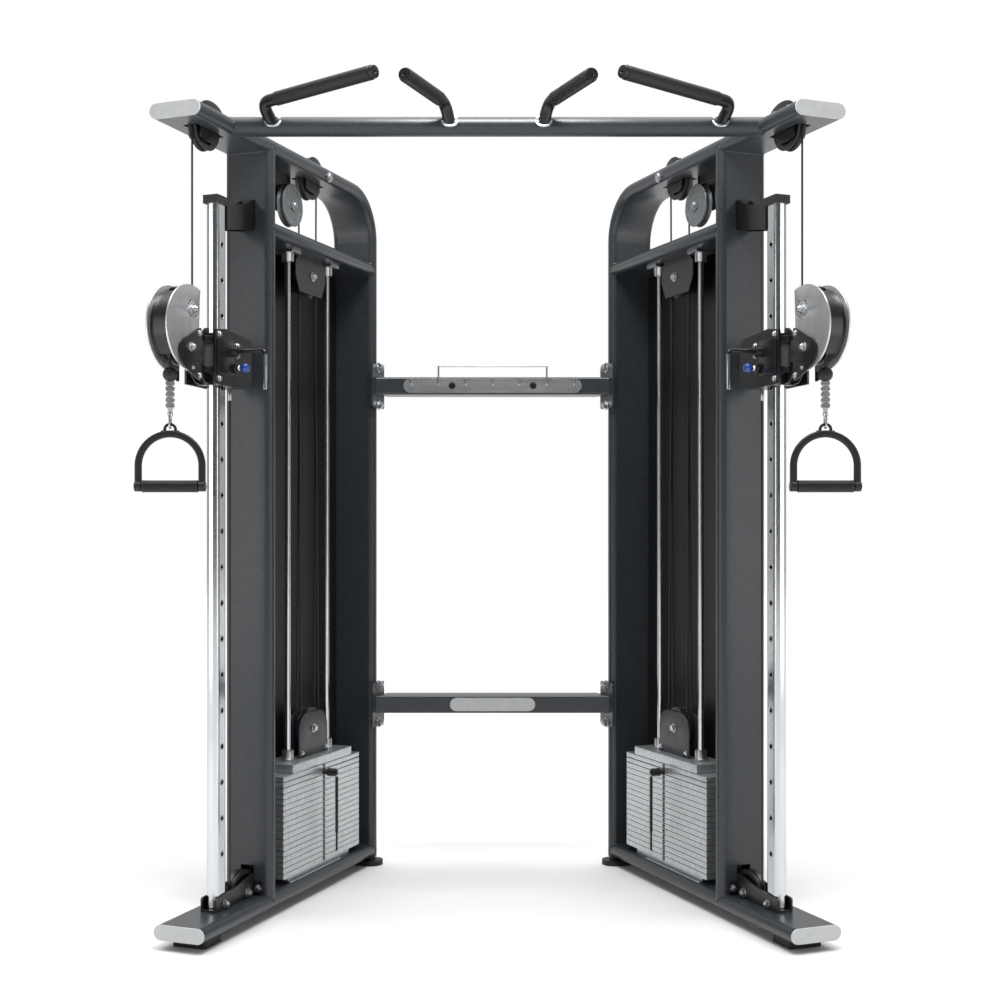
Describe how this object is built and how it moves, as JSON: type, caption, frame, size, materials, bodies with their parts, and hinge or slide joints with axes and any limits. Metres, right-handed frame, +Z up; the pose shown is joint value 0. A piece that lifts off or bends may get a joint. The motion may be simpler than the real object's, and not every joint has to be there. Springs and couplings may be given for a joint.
{
  "type": "cable crossover machine",
  "caption": "Free-standing gym machine: toed-in towers with weight stacks, sliding swivel pulley trolleys, pull-up bar with angled grips, and cross beams with a hook rack.",
  "frame": {"origin": "on the floor, under the centre of the machine's bounding box", "axes": "+Z up, +X to the right seen from the user's side, -Y towards the user's side (front), +Y to the rear"},
  "size_m": [1.9458, 1.2527, 2.3595],
  "materials": {
    "frame_coat": "satin graphite powder coat",
    "black_coat": "satin black powder coat",
    "shroud": "matt black",
    "light_cap": "satin light grey",
    "black_rubber": "matt textured",
    "chrome": "polished",
    "bright_steel": "brushed zinc",
    "bolt_steel": "zinc plated",
    "weight_steel": "silver grey paint",
    "head_steel": "dark grey paint",
    "satin_alloy": "satin silver",
    "pulley_nylon": "moulded dark nylon",
    "grey_pulley": "moulded grey nylon",
    "blue_knob": "gloss blue",
    "cable_jacket": "smooth black nylon jacket"
  },
  "bodies": {
    "root": {"top_rear_tubes": "frame_coat", "base_tubes": "frame_coat", "columns": "frame_coat", "mid_braces": "frame_coat", "end_caps": "light_cap", "feet": "black_rubber", "guide_rails": "chrome", "rail_brackets": "black_coat", "pulley_brackets": "black_coat", "guide_rods": "chrome", "rod_clamps": "bright_steel", "shroud_panels": "shroud", "weight_plates": "weight_steel", "pull_up_bar": "frame_coat", "grip_sleeves": "black_rubber", "cross_beams": "frame_coat", "accessory_rack": "bright_steel", "name_plate": "light_cap", "frame_bolts": "bolt_steel", "fixed_cables": "cable_jacket", "left_trolley_cable": "cable_jacket", "right_trolley_cable": "cable_jacket"},
    "left_trolley": {"left_trolley": "black_coat"},
    "left_lock_pin": {"left_lock_pin": "chrome"},
    "left_clamp_knob": {"left_clamp_knob": "blue_knob"},
    "left_swivel": {"left_swivel": "satin_alloy", "left_swivel_cable": "cable_jacket"},
    "left_upper_guide_pulley": {"left_upper_guide_pulley": "pulley_nylon"},
    "left_lower_guide_pulley": {"left_lower_guide_pulley": "pulley_nylon"},
    "left_cable_end": {"left_cable_end": "bright_steel"},
    "left_handle": {"left_handle": "black_rubber"},
    "left_grip": {"left_grip": "black_rubber"},
    "left_selector_pin": {"left_selector_pin": "black_coat"},
    "left_block_pulley": {"left_block_pulley": "pulley_nylon"},
    "left_top_front_pulley": {"left_top_front_pulley": "pulley_nylon"},
    "left_top_rear_pulley": {"left_top_rear_pulley": "pulley_nylon"},
    "left_turning_pulley": {"left_turning_pulley": "grey_pulley"},
    "left_brace_pulley": {"left_brace_pulley": "pulley_nylon"},
    "left_bottom_pulley": {"left_bottom_pulley": "pulley_nylon"},
    "left_stack": {"left_stack_head": "head_steel", "left_stack_cable": "cable_jacket"},
    "right_trolley": {"right_trolley": "black_coat"},
    "right_lock_pin": {"right_lock_pin": "chrome"},
    "right_clamp_knob": {"right_clamp_knob": "blue_knob"},
    "right_swivel": {"right_swivel": "satin_alloy", "right_swivel_cable": "cable_jacket"},
    "right_upper_guide_pulley": {"right_upper_guide_pulley": "pulley_nylon"},
    "right_lower_guide_pulley": {"right_lower_guide_pulley": "pulley_nylon"},
    "right_cable_end": {"right_cable_end": "bright_steel"},
    "right_handle": {"right_handle": "black_rubber"},
    "right_grip": {"right_grip": "black_rubber"},
    "right_selector_pin": {"right_selector_pin": "black_coat"},
    "right_block_pulley": {"right_block_pulley": "pulley_nylon"},
    "right_top_front_pulley": {"right_top_front_pulley": "pulley_nylon"},
    "right_top_rear_pulley": {"right_top_rear_pulley": "pulley_nylon"},
    "right_turning_pulley": {"right_turning_pulley": "grey_pulley"},
    "right_brace_pulley": {"right_brace_pulley": "pulley_nylon"},
    "right_bottom_pulley": {"right_bottom_pulley": "pulley_nylon"},
    "right_stack": {"right_stack_head": "head_steel", "right_stack_cable": "cable_jacket"}
  },
  "joints": [
    {"name": "left_trolley_slide", "type": "slide", "parent": "root", "child": "left_trolley", "axis": [0, 0, 1], "range_m": [-1.1165, 0.203], "deforming": ["left_trolley_cable"]},
    {"name": "left_lock_pull", "type": "slide", "parent": "left_trolley", "child": "left_lock_pin", "axis": [0.9358, -0.3527, 0], "range_m": [-0.012, 0.012]},
    {"name": "left_clamp_turn", "type": "hinge", "parent": "left_trolley", "child": "left_clamp_knob", "pos_m": [-0.73532, -0.30311, 1.602], "axis": [0.9358, -0.3527, 0], "continuous": true},
    {"name": "left_swivel_turn", "type": "hinge", "parent": "left_trolley", "child": "left_swivel", "pos_m": [-0.83943, -0.40921, 1.64], "axis": [0, 0, 1], "range_deg": [-70, 70]},
    {"name": "left_upper_guide_pulley_spin", "type": "hinge", "parent": "left_swivel", "child": "left_upper_guide_pulley", "pos_m": [-0.85565, -0.45226, 1.745], "axis": [0.9358, -0.3527, 0], "continuous": true},
    {"name": "left_lower_guide_pulley_spin", "type": "hinge", "parent": "left_swivel", "child": "left_lower_guide_pulley", "pos_m": [-0.862, -0.4691, 1.64], "axis": [0.9358, -0.3527, 0], "continuous": true},
    {"name": "left_handle_pull", "type": "slide", "parent": "left_swivel", "child": "left_cable_end", "axis": [0, 0, -1], "range_m": [0, 1.1], "deforming": ["left_swivel_cable"]},
    {"name": "left_handle_swing", "type": "hinge", "parent": "left_cable_end", "child": "left_handle", "pos_m": [-0.87787, -0.51121, 1.414], "axis": [0, 1, 0], "range_deg": [-45, 45]},
    {"name": "left_grip_spin", "type": "hinge", "parent": "left_handle", "child": "left_grip", "pos_m": [-0.87787, -0.51121, 1.262], "axis": [1, 0, 0], "continuous": true},
    {"name": "left_stack_lift", "type": "slide", "parent": "root", "child": "left_stack", "axis": [0, 0, 1], "range_m": [0, 0.275], "deforming": ["left_stack_cable"]},
    {"name": "left_selector_pull", "type": "slide", "parent": "left_stack", "child": "left_selector_pin", "axis": [0.9358, -0.3527, 0], "range_m": [0, 0.075]},
    {"name": "left_block_pulley_spin", "type": "hinge", "parent": "left_stack", "child": "left_block_pulley", "pos_m": [-0.59751, 0.23271, 0.511], "axis": [0.9358, -0.3527, 0], "continuous": true},
    {"name": "left_top_front_pulley_spin", "type": "hinge", "parent": "root", "child": "left_top_front_pulley", "pos_m": [-0.81827, -0.35307, 2.27], "axis": [0.9358, -0.3527, 0], "continuous": true},
    {"name": "left_top_rear_pulley_spin", "type": "hinge", "parent": "root", "child": "left_top_rear_pulley", "pos_m": [-0.59751, 0.23271, 2.27], "axis": [0.9358, -0.3527, 0], "continuous": true},
    {"name": "left_brace_pulley_spin", "type": "hinge", "parent": "root", "child": "left_brace_pulley", "pos_m": [-0.59751, 0.23271, 1.956], "axis": [0.9358, -0.3527, 0], "continuous": true},
    {"name": "left_turning_pulley_spin", "type": "hinge", "parent": "root", "child": "left_turning_pulley", "pos_m": [-0.63982, 0.12042, 2.16], "axis": [0.9358, -0.3527, 0], "continuous": true},
    {"name": "left_bottom_pulley_spin", "type": "hinge", "parent": "root", "child": "left_bottom_pulley", "pos_m": [-0.74703, -0.16404, 0.086], "axis": [0.9358, -0.3527, 0], "continuous": true},
    {"name": "right_trolley_slide", "type": "slide", "parent": "root", "child": "right_trolley", "axis": [0, 0, 1], "range_m": [-1.1165, 0.203], "deforming": ["right_trolley_cable"]},
    {"name": "right_lock_pull", "type": "slide", "parent": "right_trolley", "child": "right_lock_pin", "axis": [-0.9358, -0.3527, 0], "range_m": [-0.012, 0.012]},
    {"name": "right_clamp_turn", "type": "hinge", "parent": "right_trolley", "child": "right_clamp_knob", "pos_m": [0.73532, -0.30311, 1.602], "axis": [-0.9358, -0.3527, 0], "continuous": true},
    {"name": "right_swivel_turn", "type": "hinge", "parent": "right_trolley", "child": "right_swivel", "pos_m": [0.83943, -0.40921, 1.64], "axis": [0, 0, 1], "range_deg": [-70, 70]},
    {"name": "right_upper_guide_pulley_spin", "type": "hinge", "parent": "right_swivel", "child": "right_upper_guide_pulley", "pos_m": [0.85565, -0.45226, 1.745], "axis": [0.9358, 0.3527, 0], "continuous": true},
    {"name": "right_lower_guide_pulley_spin", "type": "hinge", "parent": "right_swivel", "child": "right_lower_guide_pulley", "pos_m": [0.862, -0.4691, 1.64], "axis": [0.9358, 0.3527, 0], "continuous": true},
    {"name": "right_handle_pull", "type": "slide", "parent": "right_swivel", "child": "right_cable_end", "axis": [0, 0, -1], "range_m": [0, 1.1], "deforming": ["right_swivel_cable"]},
    {"name": "right_handle_swing", "type": "hinge", "parent": "right_cable_end", "child": "right_handle", "pos_m": [0.87787, -0.51121, 1.414], "axis": [0, 1, 0], "range_deg": [-45, 45]},
    {"name": "right_grip_spin", "type": "hinge", "parent": "right_handle", "child": "right_grip", "pos_m": [0.87787, -0.51121, 1.262], "axis": [1, 0, 0], "continuous": true},
    {"name": "right_stack_lift", "type": "slide", "parent": "root", "child": "right_stack", "axis": [0, 0, 1], "range_m": [0, 0.275], "deforming": ["right_stack_cable"]},
    {"name": "right_selector_pull", "type": "slide", "parent": "right_stack", "child": "right_selector_pin", "axis": [-0.9358, -0.3527, 0], "range_m": [0, 0.075]},
    {"name": "right_block_pulley_spin", "type": "hinge", "parent": "right_stack", "child": "right_block_pulley", "pos_m": [0.59751, 0.23271, 0.511], "axis": [0.9358, 0.3527, 0], "continuous": true},
    {"name": "right_top_front_pulley_spin", "type": "hinge", "parent": "root", "child": "right_top_front_pulley", "pos_m": [0.81827, -0.35307, 2.27], "axis": [0.9358, 0.3527, 0], "continuous": true},
    {"name": "right_top_rear_pulley_spin", "type": "hinge", "parent": "root", "child": "right_top_rear_pulley", "pos_m": [0.59751, 0.23271, 2.27], "axis": [0.9358, 0.3527, 0], "continuous": true},
    {"name": "right_brace_pulley_spin", "type": "hinge", "parent": "root", "child": "right_brace_pulley", "pos_m": [0.59751, 0.23271, 1.956], "axis": [0.9358, 0.3527, 0], "continuous": true},
    {"name": "right_turning_pulley_spin", "type": "hinge", "parent": "root", "child": "right_turning_pulley", "pos_m": [0.63982, 0.12042, 2.16], "axis": [0.9358, 0.3527, 0], "continuous": true},
    {"name": "right_bottom_pulley_spin", "type": "hinge", "parent": "root", "child": "right_bottom_pulley", "pos_m": [0.74703, -0.16404, 0.086], "axis": [0.9358, 0.3527, 0], "continuous": true}
  ],
  "couplings": [
    {"joint": "left_upper_guide_pulley_spin", "follows": "left_stack_lift", "rad_per_m": -86.957},
    {"joint": "left_lower_guide_pulley_spin", "follows": "left_stack_lift", "rad_per_m": 88.889},
    {"joint": "left_handle_pull", "follows": "left_stack_lift", "ratio": 4},
    {"joint": "left_block_pulley_spin", "follows": "left_stack_lift", "rad_per_m": 33.333},
    {"joint": "left_top_front_pulley_spin", "follows": "left_stack_lift", "rad_per_m": 66.667},
    {"joint": "left_top_rear_pulley_spin", "follows": "left_stack_lift", "rad_per_m": 66.667},
    {"joint": "left_brace_pulley_spin", "follows": "left_stack_lift", "rad_per_m": 40},
    {"joint": "left_turning_pulley_spin", "follows": "left_trolley_slide", "rad_per_m": 16.667},
    {"joint": "left_bottom_pulley_spin", "follows": "left_trolley_slide", "rad_per_m": -16.667},
    {"joint": "right_upper_guide_pulley_spin", "follows": "right_stack_lift", "rad_per_m": -86.957},
    {"joint": "right_lower_guide_pulley_spin", "follows": "right_stack_lift", "rad_per_m": 88.889},
    {"joint": "right_handle_pull", "follows": "right_stack_lift", "ratio": 4},
    {"joint": "right_block_pulley_spin", "follows": "right_stack_lift", "rad_per_m": 33.333},
    {"joint": "right_top_front_pulley_spin", "follows": "right_stack_lift", "rad_per_m": 66.667},
    {"joint": "right_top_rear_pulley_spin", "follows": "right_stack_lift", "rad_per_m": 66.667},
    {"joint": "right_brace_pulley_spin", "follows": "right_stack_lift", "rad_per_m": 40},
    {"joint": "right_turning_pulley_spin", "follows": "right_trolley_slide", "rad_per_m": 16.667},
    {"joint": "right_bottom_pulley_spin", "follows": "right_trolley_slide", "rad_per_m": -16.667}
  ]
}
